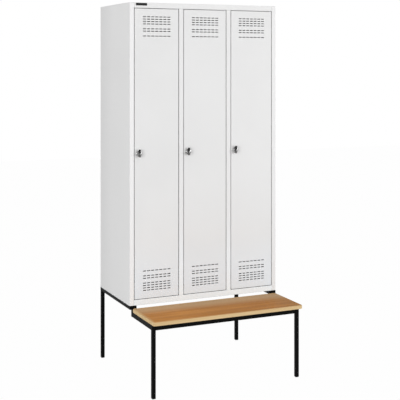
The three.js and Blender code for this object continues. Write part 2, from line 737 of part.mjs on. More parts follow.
function benchSideRail(side) {
  const section = tubeSection([benchRailBottom, benchRailTop], sideSpan(side, benchLegX, TUBE));
  return alongY(section, -BENCH_LEG_REACH + TUBE + SEAM, -SEAM);
}

// Cross rail of the bench, with a hole through both walls for each screw
function benchCrossRail(y) {
  const section = tubeSection([y - TUBE / 2, y + TUBE / 2], [benchRailBottom, benchRailTop]);
  const holes = [-screwX, screwX].map((x) => circle(x, y, SCREW_RADIUS + SEAM, PIN_SEGMENTS));
  return cut(
    alongX(section, -benchLegX + SEAM, benchLegX - SEAM),
    alongZ(holes, benchRailBottom - OVERRUN, benchRailTop + OVERRUN));
}

function rearCrossRail() {
  const end = BODY_WIDTH / 2 - UPPER_RAIL_WIDTH - SEAM;
  return alongX(tubeSection([BODY_DEPTH - TUBE, BODY_DEPTH], [upperRailBottom, railTop]), -end, end);
}

function screwPlaces() {
  return [benchFrontY, benchRearY].flatMap((y) => [[-screwX, y], [screwX, y]]);
}

// Bench board: a board with rounded corners and edges, with blind holes below
function seatBoard() {
  const soften = SEAT_ROUNDING;
  const halfWidth = BODY_WIDTH / 2 - SEAT_SIDE_INSET - soften;
  const outline = roundedRectangle(
    -halfWidth, -SEAT_REACH + soften, halfWidth, -SEAT_REAR_GAP - soften, SEAT_CORNER - soften);
  const board = extrude(outline, SEAT_THICKNESS - 2 * soften, {
    bevelEnabled: true, bevelSize: soften, bevelThickness: soften, bevelSegments: 2,
  });
  const bottom = seatTop - SEAT_THICKNESS;
  const holes = screwPlaces().map(([x, y]) => circle(x, y, SCREW_RADIUS + SEAM, PIN_SEGMENTS));
  return cut(
    toSolid(board.translate(0, 0, bottom + soften)),
    alongZ(holes, bottom - OVERRUN, bottom + SCREW_BITE + SEAM));
}

// Screw that holds the board, from below through both walls of a cross rail
function seatScrew() {
  const underside = benchRailBottom - SEAM;
  const tip = seatTop - SEAT_THICKNESS + SCREW_BITE;
  return turned([
    [0, underside - SCREW_HEAD_HEIGHT],
    [SCREW_HEAD_RADIUS / 2, underside - SCREW_HEAD_HEIGHT],
    [SCREW_HEAD_RADIUS, underside - SCREW_HEAD_HEIGHT / 2],
    [SCREW_HEAD_RADIUS, underside],
    [SCREW_RADIUS, underside],
    [SCREW_RADIUS, tip],
    [0, tip],
  ], PIN_SEGMENTS);
}

// Bolt that holds the body, from below through an upper rail into a press nut
function bodyBolt() {
  const underside = upperRailBottom - SEAM;
  return join(
    rod(HEX_RADIUS, underside - BOLT_HEAD_HEIGHT, underside, HEX_SEGMENTS),
    rod(BOLT_RADIUS, underside - BOLT_HEAD_HEIGHT / 2, BASE_HEIGHT + SHEET + NUT_HEIGHT, PIN_SEGMENTS));
}

// Foot plug: a tapered foot under a leg with a shank inside the tube. The
// four-sided cylinder is turned so that its flats face the tube's walls.
function footPlug() {
  const half = TUBE / 2;
  const inner = half - TUBE_WALL - SEAM;
  const foot = new THREE.CylinderGeometry(
    half * Math.SQRT2, (half - FOOT_TAPER) * Math.SQRT2, FOOT_THICKNESS, SQUARE_SEGMENTS);
  foot.rotateY(Math.PI / 4).rotateX(Math.PI / 2).translate(0, 0, FOOT_THICKNESS / 2);
  return join(
    toSolid(foot),
    block([-inner, inner], [-inner, inner], [FOOT_THICKNESS / 2, FOOT_THICKNESS + PLUG_SHANK]));
}

// Assembly

const unit = new THREE.Group();
unit.name = 'locker_unit';

function addGroup(parent, x, y, z) {
  const group = new THREE.Group();
  group.position.set(x, y, z);
  parent.add(group);
  return group;
}

function addPiece(parent, name, solid, finish) {
  const mesh = new THREE.Mesh(toGeometry(solid), new THREE.MeshStandardMaterial(finishes[finish]));
  mesh.name = name;
  parent.add(mesh);
}

const base = addGroup(unit, 0, bodyFront, 0);
for (const [side, word] of [[-1, 'left'], [1, 'right']]) {
  addPiece(base, `rear_leg_${word}`, rearLeg(side), 'blackSteel');
  addPiece(base, `front_leg_${word}`, frontLeg(side), 'blackSteel');
  addPiece(base, `upper_rail_${word}`, upperRail(side), 'blackSteel');
  addPiece(base, `step_post_${word}`, stepPost(side), 'blackSteel');
  addPiece(base, `bench_side_rail_${word}`, benchSideRail(side), 'blackSteel');
  const rearFoot = addGroup(base, side * (legX + TUBE / 2), BODY_DEPTH - TUBE / 2, 0);
  addPiece(rearFoot, `rear_foot_plug_${word}`, footPlug(), 'blackPlastic');
  const frontFoot = addGroup(base, side * (benchLegX + TUBE / 2), benchFrontY, 0);
  addPiece(frontFoot, `front_foot_plug_${word}`, footPlug(), 'blackPlastic');
}
addPiece(base, 'bench_front_rail', benchCrossRail(benchFrontY), 'blackSteel');
addPiece(base, 'bench_rear_rail', benchCrossRail(benchRearY), 'blackSteel');
addPiece(base, 'rear_cross_rail', rearCrossRail(), 'blackSteel');
addPiece(base, 'seat_board', seatBoard(), 'beech');
screwPlaces().forEach(([x, y], i) => {
  addPiece(addGroup(base, x, y, 0), `seat_screw_${i + 1}`, seatScrew(), 'zincSteel');
});
boltPlaces().forEach(([x, y], i) => {
  addPiece(addGroup(base, x, y, 0), `body_bolt_${i + 1}`, bodyBolt(), 'zincSteel');
});

const body = addGroup(unit, 0, bodyFront, BASE_HEIGHT);
addPiece(body, 'side_panel_left', sidePanel(-1), 'sideSheet');
addPiece(body, 'side_panel_right', sidePanel(1), 'sideSheet');
addPiece(body, 'roof_panel', roofPanel(), 'frontSheet');
addPiece(body, 'floor_panel', floorPanel(), 'frontSheet');
addPiece(body, 'back_panel', backPanel(), 'sideSheet');
addPiece(body, 'blank_plate', blankPlate(), 'blackPlastic');
for (let i = 0; i < COMPARTMENTS - 1; i += 1) {
  addPiece(body, `partition_${i + 1}`, partition(i), 'innerSheet');
  addPiece(body, `middle_post_${i + 1}`, middlePost(i), 'frontSheet');
}

for (let i = 0; i < COMPARTMENTS; i += 1) {
  const number = i + 1;
  addPiece(body, `hat_shelf_${number}`, hatShelf(i), 'innerSheet');
  addPiece(body, `coat_rail_${number}`, coatRail(i), 'zincSteel');
  const [left, right] = wallX(i);
  const hookPlace = addGroup(body, (left + right) / 2, railY, railZ);
  addPiece(hookPlace, `coat_hook_${number}`, coatHook(), 'blackPlastic');

  const leaf = addGroup(body, doorX(i), 0, SILL_HEIGHT + DOOR_GAP);
  addPiece(leaf, `door_${number}`, door(), 'frontSheet');
  const pinPlace = addGroup(leaf, doorWidth - PIVOT_INSET, PIVOT_DEPTH, doorHeight);
  addPiece(pinPlace, `pivot_pin_${number}`, pivotPin(), 'zincSteel');
  const lock = addGroup(leaf, LOCK_INSET, 0, lockZ);
  addPiece(lock, `lock_housing_${number}`, lockHousing(), 'chrome');
  addPiece(lock, `lock_knob_${number}`, lockKnob(), 'blackSteel');
  addPiece(lock, `lock_cam_${number}`, lockCam(), 'zincSteel');
}

export default unit;
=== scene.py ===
# %% [markdown]
# # A cloakroom locker with a bench, lit for a catalogue picture
#
# The locker is three tall sheet steel compartments on a base of black square
# tube, with a beech board in front to sit on. The packed CAD model gives every
# piece its place and size. This lesson keeps the folded sheets and tubes, gives
# them paint, metal and plastic, and makes the pieces that need a finer surface
# than the CAD model has: the board, the locks, the hooks and the coat rails.

import json

import bmesh
import bpy
import numpy as np
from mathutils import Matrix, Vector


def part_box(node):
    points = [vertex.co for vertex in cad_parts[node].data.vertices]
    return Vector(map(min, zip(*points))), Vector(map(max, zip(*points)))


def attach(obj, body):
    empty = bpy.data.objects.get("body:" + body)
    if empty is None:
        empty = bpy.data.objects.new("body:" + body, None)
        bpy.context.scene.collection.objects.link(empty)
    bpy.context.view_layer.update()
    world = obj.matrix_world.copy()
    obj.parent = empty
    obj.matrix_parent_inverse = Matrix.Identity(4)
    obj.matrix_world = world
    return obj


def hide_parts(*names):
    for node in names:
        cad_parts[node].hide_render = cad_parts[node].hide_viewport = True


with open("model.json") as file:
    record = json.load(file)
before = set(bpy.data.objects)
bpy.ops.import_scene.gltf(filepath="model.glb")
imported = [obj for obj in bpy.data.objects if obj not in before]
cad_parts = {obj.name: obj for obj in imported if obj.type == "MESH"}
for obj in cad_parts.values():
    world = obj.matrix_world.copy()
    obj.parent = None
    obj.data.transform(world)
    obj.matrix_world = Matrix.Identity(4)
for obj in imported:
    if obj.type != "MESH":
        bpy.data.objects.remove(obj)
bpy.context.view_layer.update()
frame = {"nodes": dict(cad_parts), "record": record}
nodes = frame["nodes"]

# %% [markdown]
# ## The camera
#
# The picture was taken from about 1.7 metres up, from the left, with the camera
# held level, so upright edges stay upright. The lens is shifted down to take in
# the legs.
#
# Such a camera could be placed by eye in the viewport. Here its focal length,
# place and turn were fitted to the corners of the locker, because a fit sets
# all of them at once, and they are written as measured.

# %% Camera
IMAGE_SIZE = 400
SENSOR = 36.0
FOCAL_PIXELS = 957.533
HORIZON_ROW = 64.625
CAMERA_PLACE = (-2.24457, -4.97512, 1.72587)
CAMERA_TURN = -0.4250
FAR_CLIP = 100.0

camera_data = bpy.data.cameras.new("studio_camera")
camera_data.sensor_width = SENSOR
camera_data.lens = FOCAL_PIXELS / IMAGE_SIZE * SENSOR
camera_data.shift_y = (HORIZON_ROW - IMAGE_SIZE / 2) / IMAGE_SIZE
camera_data.clip_end = FAR_CLIP
camera = bpy.data.objects.new("studio_camera", camera_data)
camera.location = CAMERA_PLACE
camera.rotation_euler = (np.pi / 2, 0.0, CAMERA_TURN)
bpy.context.scene.collection.objects.link(camera)
bpy.context.scene.camera = camera
print("lens", round(camera_data.lens, 2), "mm, shift", round(camera_data.shift_y, 3))

# %% [markdown]
# ## Writing shader maths as sums
#
# A finish is a network of nodes. It could be drawn in the Shader Editor, or each
# Math node wired by a line of its own, but then the idea behind it is hard to
# see. So a small class wraps a socket and lets Python's own operators add the
# nodes, and a formula reads as one.

# %% Sums of sockets
class Field:
    """What a socket gives over a surface. Sums, differences and products of numbers add
    Math nodes. Colours and places are fields too, but only go into other nodes."""

    def __init__(self, finish, socket):
        self.finish = finish
        self.socket = socket

    def math(self, operation, *others):
        values = dict(enumerate((self, *others)))
        return self.finish.node("ShaderNodeMath", {"operation": operation}, values)

    def __add__(self, other):
        return self.math("ADD", other)

    def __mul__(self, other):
        return self.math("MULTIPLY", other)

    def __sub__(self, other):
        return self.math("SUBTRACT", other)

    def __rsub__(self, other):
        return self.finish.node("ShaderNodeMath", {"operation": "SUBTRACT"}, {0: other, 1: self})

    __radd__ = __add__
    __rmul__ = __mul__

    def above(self, low, high):
        """0 below low, 1 above high and a smooth ramp between them."""
        settings = {"interpolation_type": "SMOOTHSTEP"}
        values = {"Value": self, "From Min": low, "From Max": high}
        return self.finish.node("ShaderNodeMapRange", settings, values)


print("a field has", [name for name in vars(Field) if not name.startswith("_")])

# %% [markdown]
# ## One material and its nodes
#
# Paint, zinc or lacquer is one Principled shader, and the nodes that feed it say
# how it changes over the surface. Each node could be made, set and linked in
# lines of its own. One method does that here for any node, and short methods
# name what returns in every finish: a place, a pattern of noise, a mix of two
# colours and a relief.

# %% Finishes
class Finish:
    """One material: a Principled shader and the nodes that feed it."""

    def __init__(self, name, **settings):
        self.material = bpy.data.materials.new(name)
        self.material.use_nodes = True
        self.tree = self.material.node_tree
        self.shader = self.tree.nodes["Principled BSDF"]
        for socket, value in settings.items():
            self.shader.inputs[socket.replace("_", " ")].default_value = value

    def node(self, kind, settings=None, values=None, output=0):
        """Adds a node: its settings first, then the values or links of its sockets."""
        made = self.tree.nodes.new(kind)
        for name, value in (settings or {}).items():
            setattr(made, name, value)
        for key, value in (values or {}).items():
            self.put(made.inputs[key], value)
        return Field(self, made.outputs[output])

    def put(self, socket, value):
        if isinstance(value, Field):
            self.tree.links.new(value.socket, socket)
        else:
            socket.default_value = value

    def feed(self, **fields):
        for socket, value in fields.items():
            self.put(self.shader.inputs[socket.replace("_", " ")], value)

    def place(self):
        """The point on the surface, in metres in the locker's own frame."""
        return self.node("ShaderNodeTexCoord", output="Object")

    def axis(self, letter):
        return self.node("ShaderNodeSeparateXYZ", values={"Vector": self.place()}, output=letter)

    def stretched(self, scale):
        """The point with each axis scaled, so that a pattern has a direction."""
        return self.node("ShaderNodeMapping", values={"Vector": self.place(), "Scale": scale})

    def noise(self, scale, detail, vector=None):
        """Soft noise between 0 and 1 with about scale bumps to a metre."""
        values = {"Vector": vector or self.place(), "Scale": scale, "Detail": detail}
        return self.node("ShaderNodeTexNoise", {"normalize": True}, values)

    def mix(self, amount, first, second):
        """A colour that goes from first to second as amount goes from 0 to 1."""
        values = {0: amount, 6: first, 7: second}
        return self.node("ShaderNodeMix", {"data_type": "RGBA"}, values, output=2)

    def relief(self, height, depth):
        """Turns a height field into a bump of about depth metres."""
        values = {"Height": height, "Distance": depth, "Strength": 1.0}
        self.feed(Normal=self.node("ShaderNodeBump", values=values))

    def plain_rays(self):
        """1 for rays that come from the camera, from gloss or through glass, else 0."""
        seen = self.node("ShaderNodeLightPath", output="Is Camera Ray")
        for ray in ("Is Glossy Ray", "Is Transmission Ray"):
            seen = seen.math("MAXIMUM", self.node("ShaderNodeLightPath", output=ray))
        return seen


print("a finish has", [name for name in vars(Finish) if not name.startswith("_")])

# %% [markdown]
# ## Powder coat
#
# Powder is sprayed on dry and melted in an oven, so the paint flows into a
# skin with a faint orange peel and a satin gloss. The peel has waves of two or
# three millimetres, with a finer grain between them. The colour hardly varies,
# but the gloss does, because hands and cloths polish some places more.
#
# A picture of painted steel could be wrapped round each sheet. Noise on Object
# coordinates is used instead: it needs no unwrapping, and the peel has the same
# size on every sheet, however long.

# %% Powder coat
MM = 0.001
CLOUDS = 2.2
PEEL_WAVES = 420.0
PAINT_GRAIN = 1900.0
CLOUD_SHADE = 0.97


def powder_coat(name, colour, gloss, peel=0.03 * MM, sheen=0.5, zones=()):
    """Satin paint: peel of about 400 waves to a metre, fine grain and uneven gloss.
    A zone is a colour and its limits: an axis, where it starts and where it is full."""
    paint = Finish(name, IOR=1.5, Specular_IOR_Level=sheen)
    cloud = paint.noise(CLOUDS, 3.0)
    waves = paint.noise(PEEL_WAVES, 1.0)
    grain = paint.noise(PAINT_GRAIN, 2.0)
    shade = tuple(channel * CLOUD_SHADE for channel in colour[:3]) + (1.0,)
    coat = paint.mix(cloud.above(0.3, 0.7), shade, colour)
    for other, *limits in zones:
        share = 1.0
        for axis, start, full in limits:
            share = share * paint.axis(axis).above(start, full)
        coat = paint.mix(share, coat, other)
    paint.feed(
        Base_Color=coat,
        Roughness=gloss + (cloud - 0.5) * 0.08 + (grain - 0.5) * 0.06,
    )
    paint.relief(waves + grain * 0.25, peel)
    return paint.material


print("powder coat with peel waves of", round(1 / PEEL_WAVES / MM, 1), "mm")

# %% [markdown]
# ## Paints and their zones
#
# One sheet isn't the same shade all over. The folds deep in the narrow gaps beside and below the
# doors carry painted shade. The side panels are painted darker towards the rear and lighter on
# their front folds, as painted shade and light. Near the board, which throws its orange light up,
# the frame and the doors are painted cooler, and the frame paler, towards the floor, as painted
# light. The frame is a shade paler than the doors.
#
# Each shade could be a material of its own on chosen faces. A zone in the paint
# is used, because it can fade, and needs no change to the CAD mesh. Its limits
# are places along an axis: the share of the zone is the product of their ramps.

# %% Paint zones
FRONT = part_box("door_1")[0][1]
# Painted light: a paler, cooler frame colour, against the board's orange bounce and the shade low
# down.
FRAME_PAINTED_LIGHT = (0.87, 0.915, 0.95, 1.0)
# Painted light: a cooler door colour, against the board's orange bounce.
DOOR_PAINTED_COOL_LIGHT = (0.768, 0.812, 0.855, 1.0)


def grey(level):
    """An opaque grey in linear light."""
    return (level, level, level, 1.0)


def behind_front(start, full):
    """A limit in millimetres behind the fronts of the frame and the doors."""
    return ("Y", FRONT + start * MM, FRONT + full * MM)


front_face = behind_front(1.2, 0.7)
recess = [behind_front(0.9, 1.6), behind_front(9.5, 7.5)]
# Painted light: the frame and the doors turn paler and cooler towards the floor.
low_frame_painted_light = (FRAME_PAINTED_LIGHT, ("Z", 0.95, 0.46))
low_door_painted_light = (DOOR_PAINTED_COOL_LIGHT, ("Z", 0.8, 0.44))
# Painted light: the front folds of the side panels are lighter, the right one less so.
front_fold_painted_light = (grey(0.865), front_face)
right_fold_painted_light = (grey(0.8), front_face, ("X", 0.4, 0.42))
# Painted shade: the side panels turn darker towards the rear.
rear_side_painted_shade = (grey(0.715), ("Y", 0.18, 0.41))
# Painted shade: folds deep in the gaps beside and below the doors are dark grey.
post_gap_painted_shade = (grey(0.26), *recess)
sill_gap_painted_shade = (grey(0.22), recess[0], behind_front(19.0, 16.0))
side_gap_painted_shade = (grey(0.35), *recess, ("X", 0.415, 0.42), ("X", 0.4492, 0.4486))
door_gap_painted_shade = (grey(0.4), *recess, ("X", -0.4195, -0.4212))
side_zones = [rear_side_painted_shade, front_fold_painted_light, right_fold_painted_light, side_gap_painted_shade]
print("fronts at", round(FRONT, 4), "m, nine zones")

# %% Paints
FRAME_GREY = grey(0.81)
FRAME_GLOSS = 0.36
TUBE_BLACK = grey(0.0048)

frame_paint = powder_coat("light_grey_frame_paint", FRAME_GREY, FRAME_GLOSS, zones=[low_frame_painted_light])
post_zones = [low_frame_painted_light, post_gap_painted_shade]
post_paint = powder_coat("light_grey_post_paint", FRAME_GREY, FRAME_GLOSS, zones=post_zones)
door_zones = [low_door_painted_light, door_gap_painted_shade]
door_paint = powder_coat("light_grey_door_paint", grey(0.79), 0.34, zones=door_zones)
side_paint = powder_coat("light_grey_side_paint", grey(0.785), 0.38, zones=side_zones)
# Painted light: the sill is paler and cooler all over; its gap zone is painted shade.
sill_paint = powder_coat("light_grey_sill_paint", FRAME_PAINTED_LIGHT, FRAME_GLOSS, zones=[sill_gap_painted_shade])
inner_paint = powder_coat("light_grey_inner_paint", grey(0.88), 0.42)
tube_paint = powder_coat("black_tube_paint", TUBE_BLACK, 0.42, peel=0.04 * MM, sheen=0.02)
print("seven powder coats")

# %% [markdown]
# ## Moulded plastic and coated castings
#
# Foot plugs, hooks and the small plate are black polyamide or polyethylene.
# The mould is spark eroded, which leaves a fine even grain and a dull gloss.
# The knobs of the locks are die cast and coated black, and hands have given them a soft shine.
# The lower half of the grip is painted a dull dark grey, as painted light. One black could serve
# for both, but they catch the light in different ways, so each has its own function, and the
# painted light is a ramp along the height of the knob.

# %% Moulded plastic
MOULD_GRAIN = 1500.0
BLOOM = 30.0


def moulded_plastic(name, level):
    """Dull black plastic: an even grain of about 1500 pits to a metre."""
    plastic = Finish(name, IOR=1.49, Specular_IOR_Level=0.2)
    pits = plastic.noise(MOULD_GRAIN, 2.0)
    bloom = plastic.noise(BLOOM, 2.0).above(0.35, 0.75)
    plastic.feed(
        Base_Color=plastic.mix(bloom, grey(level), grey(level * 1.6)),
        Roughness=0.5 + (pits - 0.5) * 0.2,
    )
    plastic.relief(pits, 0.04 * MM)
    return plastic.material


black_plastic = moulded_plastic("black_moulded_plastic", 0.008)
print("moulded plastic ready")

# %% Coated castings
CASTING_GRAIN = 2200.0
RUBBED_SPOTS = 120.0
PAINTED_LIGHT_FADE = 8.0 * MM


def black_coating(name):
    """Coating on a casting: fine grain, and a soft shine where fingers polish it.
    The lower half of the grip is painted a dull dark grey, as painted light."""
    low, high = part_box("lock_knob_1")
    middle = (low[2] + high[2]) / 2
    coating = Finish(name, IOR=1.5, Specular_IOR_Level=0.25)
    grain = coating.noise(CASTING_GRAIN, 2.0)
    rubbed = coating.noise(RUBBED_SPOTS, 2.0).above(0.45, 0.8)
    # Painted light: the lower half of the grip is a lighter, dull dark grey.
    lighter_lower_half = coating.axis("Z").above(middle, middle - PAINTED_LIGHT_FADE)
    black = coating.mix(rubbed, grey(0.006), grey(0.02))
    coating.feed(
        Base_Color=coating.mix(lighter_lower_half, black, grey(0.13)),
        Roughness=0.36 - rubbed * 0.1 + (grain - 0.5) * 0.12,
    )
    coating.relief(grain, 0.02 * MM)
    return coating.material


knob_black = black_coating("black_knob_coating")
print("knob coating, worn over", round(PAINTED_LIGHT_FADE / MM), "mm")

# %% [markdown]
# ## Plated metal
#
# Screws, pins, cams and rails are zinc plated: a pale bluish grey with a soft
# crystal mottle. The locks are die cast and chrome plated. Chrome is nearly a
# mirror, so almost all that one sees in it is the room, apart from fine
# scratches and a slight waviness of the casting. A brushed look could come from
# anisotropy, but plating has no direction, so noise varies its roughness.

# %% Zinc
ZINC_CRYSTALS = 260.0
ZINC_SMEAR = 900.0
SMEAR_STRETCH = (1.0, 1.0, 0.15)
ZINC_DARK = (0.5, 0.51, 0.53, 1.0)
ZINC_LIGHT = (0.66, 0.67, 0.68, 1.0)


def zinc_plate(name):
    """Zinc: a mottle of crystals a few millimetres wide that shifts shade and gloss."""
    zinc = Finish(name, Metallic=1.0)
    crystals = zinc.noise(ZINC_CRYSTALS, 3.0)
    smear = zinc.noise(ZINC_SMEAR, 2.0, zinc.stretched(SMEAR_STRETCH))
    zinc.feed(
        Base_Color=zinc.mix(crystals.above(0.3, 0.7), ZINC_DARK, ZINC_LIGHT),
        Roughness=0.3 + (crystals - 0.5) * 0.14 + (smear - 0.5) * 0.1,
    )
    zinc.relief(smear, 0.01 * MM)
    return zinc.material


zinc = zinc_plate("zinc_plated_steel")
print("zinc with crystals of", round(1 / ZINC_CRYSTALS / MM, 1), "mm")

# %% Chrome
SCRATCHES = 2500.0
SCRATCH_STRETCH = (1.0, 1.0, 0.08)
CASTING_WAVES = 140.0


def chrome_plate(name, level):
    """Chrome: polished, with fine scratches in the gloss and a faint casting wave."""
    chrome = Finish(name, Metallic=1.0)
    scratches = chrome.noise(SCRATCHES, 3.0, chrome.stretched(SCRATCH_STRETCH))
    wave = chrome.noise(CASTING_WAVES, 1.0)
    chrome.feed(
        Base_Color=chrome.mix(wave, grey(level * 0.92), grey(level * 1.08)),
        Roughness=0.14 + scratches.above(0.55, 0.8) * 0.12,
    )
    chrome.relief(wave, 0.06 * MM)
    return chrome.material


chrome = chrome_plate("chrome_plated_casting", 0.32)
bright_chrome = chrome_plate("polished_cap_chrome", 0.45)
print("two chromes")

# %% [markdown]
# ## Lacquered beech
#
# The board is glued up from staves about 45 mm wide. Beech is orange brown when steamed, with
# quiet grain lines along the stave and short dark flecks, the ends of its rays. Clear lacquer
# lies over it. Its rounded edges are painted much paler, as painted light.
#
# A photograph of wood could be laid over the board. Noise that is stretched
# along the staves is chosen, because it never repeats and runs on from the top
# into the rounded edge. Each stave takes its own shade from its number, counted
# across the board, so the colour steps at the glue lines.

# %% Beech colours
LIGHT_BEECH = ((0.61, 0.238, 0.045, 1.0), (0.79, 0.35, 0.08, 1.0))
DARK_BEECH = ((0.47, 0.178, 0.031, 1.0), (0.64, 0.275, 0.06, 1.0))
# Painted light: the edge faces below the top are paler.
EDGE_PAINTED_LIGHT_BEECH = ((0.66, 0.47, 0.24, 1.0), (0.78, 0.585, 0.335, 1.0))
GRAIN_BROWN = (0.38, 0.13, 0.028, 1.0)
STAVE_TINT = (0.62, 0.3, 0.1, 1.0)
FLECK_BROWN = (0.28, 0.09, 0.025, 1.0)
RIGHT_END_BROWN = (0.3, 0.16, 0.05, 1.0)
# Painted reflection of the pale sheet steel behind, over the rear of the board.
REAR_PAINTED_REFLECTION = (0.6, 0.43, 0.255, 1.0)
# Painted highlight along the front, rear and left rims.
RIM_PAINTED_HIGHLIGHT = (0.76, 0.53, 0.27, 1.0)

mean_light = [round(float(np.mean(tone[:3])), 2) for tone in (*LIGHT_BEECH, *DARK_BEECH)]
print("the streaks reflect these shares of the light:", mean_light)

# %% Staves
STAVE = 0.045
STAVE_SHIFT = (0.37, 1.3, 0.71)
GRAIN_STRETCH = (1.4, 42.0, 42.0)

board_low, board_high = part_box("seat_board")


def staves(wood):
    """A tone for each stave, and the slow figure and the fine lines that run along it.
    A stave's number is the whole part of depth / width, and it moves the noise on."""
    stave = (wood.axis("Y") * (1 / STAVE)).math("FLOOR")
    shift = {i: stave * step for i, step in enumerate(STAVE_SHIFT)}
    moved = {0: wood.stretched(GRAIN_STRETCH), 1: wood.node("ShaderNodeCombineXYZ", values=shift)}
    along = wood.node("ShaderNodeVectorMath", {"operation": "ADD"}, moved)
    tone = wood.node("ShaderNodeTexWhiteNoise", {"noise_dimensions": "1D"}, {"W": stave})
    return tone, wood.noise(1.0, 4.0, along), wood.noise(5.0, 5.0, along)


print("board of about", round((board_high[1] - board_low[1]) / STAVE), "staves")

# %% [markdown]
# ## Tones that drift over the board
#
# The board is lighter at the left and a little darker at the right end. Towards the rear it is
# paler, a painted reflection of the pale sheet steel behind it, and its rims are pale lines of
# painted highlight. A mask for each could be painted by hand. Ramps along the axes are used
# instead: they need no unwrapping, and those of the rims start from the board's own box.

# %% Rims of the board
# Each pair says how far from the board's edge a rim starts to fade and where it ends.
FRONT_RIM = np.array((2.0, 16.0)) * MM
LEFT_RIM = np.array((2.0, 20.0)) * MM
REAR_RIM = np.array((3.0, 18.0)) * MM


def board_rims(wood):
    """1 on the front, rear and left rims of the board and 0 a little further in."""
    length, depth = wood.axis("X"), wood.axis("Y")
    front = 1 - depth.above(*(board_low[1] + FRONT_RIM))
    rear = depth.above(*(board_high[1] - REAR_RIM[::-1]))
    left = 1 - length.above(*(board_low[0] + LEFT_RIM))
    return (front + rear).math("MAXIMUM", left)


print("front rim", round(FRONT_RIM[1] / MM), "mm wide")

# %% Top of the board
# Scales along the three axes, and where a drift of tone starts and is full, in metres.
FLECK_STRETCH = (240.0, 900.0, 900.0)
DARKER_PART = (-0.34, 0.02)
RIGHT_END = (0.26, 0.42)
# Where the painted reflection towards the rear starts and is full.
REAR_REFLECTION_SPAN = (-0.28, -0.14)


def board_top(wood, tone, figure, lines):
    """The top's colour: light and dark streaks, then one layer over another for the
    grain lines, the stave's tint, the flecks, the drifts of tone and the rims."""
    length, depth = wood.axis("X"), wood.axis("Y")
    streaks = figure.above(0.35, 0.65)
    flecks = wood.noise(1.0, 1.0, wood.stretched(FLECK_STRETCH)).above(0.66, 0.74)
    light, dark = wood.mix(streaks, *LIGHT_BEECH), wood.mix(streaks, *DARK_BEECH)
    top = wood.mix(length.above(*DARKER_PART), light, dark)
    top = wood.mix(lines.above(0.47, 0.66) * 0.42, top, GRAIN_BROWN)
    top = wood.mix(tone * 0.25, top, STAVE_TINT)
    top = wood.mix(flecks * 0.35, top, FLECK_BROWN)
    top = wood.mix(length.above(*RIGHT_END) * 0.32, top, RIGHT_END_BROWN)
    # Painted reflection: paler towards the rear.
    top = wood.mix(depth.above(*REAR_REFLECTION_SPAN) * 0.71, top, REAR_PAINTED_REFLECTION)
    # Painted highlight on the rims.
    return wood.mix(board_rims(wood) * 0.6, top, RIM_PAINTED_HIGHLIGHT)


# The milky lacquer in this print is the painted reflection towards the rear.
print("lacquer is milky over", round(REAR_REFLECTION_SPAN[1] - REAR_REFLECTION_SPAN[0], 3), "m")

# %% Lacquered beech
PORE_STRETCH = (60.0, 1800.0, 1800.0)
EDGE_START = 0.2 * MM
EDGE_FULL = 2.2 * MM


def lacquered_beech(name):
    """Staves along X with pores in the gloss, and a paler edge below the top."""
    wood = Finish(name, IOR=1.5, Specular_IOR_Level=0.005, Coat_Roughness=0.16, Coat_IOR=1.1)
    tone, figure, lines = staves(wood)
    pores = wood.noise(1.0, 3.0, wood.stretched(PORE_STRETCH))
    # Painted light: the edge faces are paler than the top.
    edge = wood.mix(figure.above(0.3, 0.7), *EDGE_PAINTED_LIGHT_BEECH)
    below_top = (board_high[2] - wood.axis("Z")).above(EDGE_START, EDGE_FULL)
    wood.feed(
        Base_Color=wood.mix(below_top, board_top(wood, tone, figure, lines), edge),
        Roughness=0.34 + pores.above(0.5, 0.8) * 0.16,
        Coat_Weight=0.15 + (figure - 0.5) * 0.1,
    )
    wood.relief(lines * 0.6 + pores * 0.4, 0.08 * MM)
    return wood.material


beech = lacquered_beech("lacquered_beech")
print("beech with", len(beech.node_tree.nodes), "nodes")

# %% [markdown]
# ## Dressing the CAD nodes
#
# The sheets and tubes keep their CAD shape. Each record slot names a finish, so
# one table dresses them all. Real folds and cut edges are never perfectly
# sharp: paint rounds them, and that thin bright line along an edge is what
# makes sheet metal look like metal. The sheets could be modelled again with
# rounded edges, but their shape is right already, so a Weld modifier joins the
# loose triangles and a small Bevel rounds the edges.

# %% Softened edges
JOIN_DISTANCE = 0.01 * MM
SHARP_ANGLE = np.radians(35)


def soften(node, rounding):
    """Joins a node's loose triangles and rounds its sharp edges, in millimetres."""
    weld = node.modifiers.new("join_triangles", "WELD")
    weld.merge_threshold = JOIN_DISTANCE
    bevel = node.modifiers.new("soft_edges", "BEVEL")
    bevel.width = rounding * MM
    bevel.segments = 2
    bevel.limit_method = "ANGLE"
    bevel.angle_limit = SHARP_ANGLE


print("edges over", round(np.degrees(SHARP_ANGLE)), "degrees will be rounded")

# %% Finishes for the nodes
# Each slot has its finish and the rounding of its edges in millimetres.
slot_dress = {
    "grey_sheet": (side_paint, 0.3),
    "light_sheet": (frame_paint, 0.3),
    "door_sheet": (door_paint, 0.25),
    "inner_sheet": (inner_paint, 0.25),
    "black_tube": (tube_paint, 0.3),
    "black_plastic": (black_plastic, 0.4),
    "beech_board": (beech, 0.0),
    "zinc_fastener": (zinc, 0.25),
    "zinc_steel": (zinc, 0.2),
    "lock_chrome": (chrome, 0.25),
    "lock_black": (knob_black, 0.25),
}
own_finish = {"floor_panel": sill_paint, "middle_post_1": post_paint, "middle_post_2": post_paint}

for entry in frame["record"]["subparts"]:
    node = nodes[entry["node"]]
    finish, rounding = slot_dress[entry["material_slot"]]
    node.data.materials.clear()
    node.data.materials.append(own_finish.get(entry["node"], finish))
    if rounding:
        soften(node, rounding)

